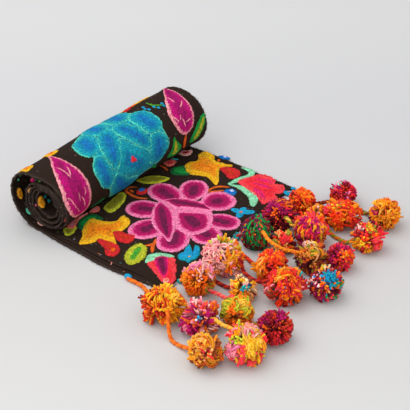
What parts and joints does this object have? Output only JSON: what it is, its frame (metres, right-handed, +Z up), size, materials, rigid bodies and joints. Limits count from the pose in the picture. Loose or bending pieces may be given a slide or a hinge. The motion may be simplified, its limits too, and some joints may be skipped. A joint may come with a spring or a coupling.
{
  "type": "rolled embroidered table runner with pompom fringe",
  "caption": "Dark handwoven table runner embroidered with bright flowers, rolled up at one end and laid flat at the other, with a fringe of yarn pompoms on twisted cords.",
  "frame": {"origin": "middle of the flat underside of the cloth, on the surface that it lies on", "axes": "+X along the cloth from the roll to the fringe, +Y across the cloth, +Z up"},
  "size_m": [0.4835, 0.4545, 0.1006],
  "materials": {
    "ground_cloth": "near-black handwoven cotton, densely embroidered in coloured thread",
    "twisted_cord": "two-ply twisted yarn cord",
    "yarn_amber": "cut yarn pompom, mixed colours",
    "yarn_orange": "cut yarn pompom, mixed colours",
    "yarn_magenta": "cut yarn pompom, mixed colours",
    "yarn_pink": "cut yarn pompom, mixed colours",
    "yarn_mixed": "cut yarn pompom, mixed colours"
  },
  "bodies": {
    "root": {"cloth": "ground_cloth", "pompom_yellow_flame": "yarn_amber", "pompom_far_amber": "yarn_amber", "pompom_golden_brown": "yarn_amber", "pompom_small_yellow": "yarn_amber", "pompom_yellow_brown": "yarn_amber", "pompom_orange_pink": "yarn_orange", "pompom_red_orange": "yarn_orange", "pompom_long_orange": "yarn_orange", "pompom_orange_red": "yarn_orange", "pompom_orange_dots": "yarn_orange", "pompom_red_star": "yarn_orange", "pompom_red_yellow": "yarn_orange", "pompom_purple_orange": "yarn_magenta", "pompom_magenta_berry": "yarn_magenta", "pompom_magenta_flame": "yarn_magenta", "pompom_dark_magenta": "yarn_magenta", "pompom_dark_red": "yarn_magenta", "pompom_pink_orange": "yarn_pink", "pompom_magenta_white": "yarn_pink", "pompom_pink_yellow": "yarn_pink", "pompom_forest_mix": "yarn_mixed", "pompom_blue_mix": "yarn_mixed", "pompom_teal_mix": "yarn_mixed", "pompom_lime_loops": "yarn_mixed", "cord_01": "twisted_cord", "cord_02": "twisted_cord", "cord_03": "twisted_cord", "cord_04": "twisted_cord", "cord_05": "twisted_cord", "cord_06": "twisted_cord", "cord_07": "twisted_cord", "cord_08": "twisted_cord", "cord_09": "twisted_cord", "cord_10": "twisted_cord", "cord_11": "twisted_cord", "cord_12": "twisted_cord", "cord_13": "twisted_cord", "cord_14": "twisted_cord", "cord_15": "twisted_cord", "cord_16": "twisted_cord", "cord_17": "twisted_cord", "cord_18": "twisted_cord", "cord_19": "twisted_cord", "cord_20": "twisted_cord", "cord_21": "twisted_cord", "cord_22": "twisted_cord", "cord_23": "twisted_cord", "cord_24": "twisted_cord"}
  },
  "joints": []
}
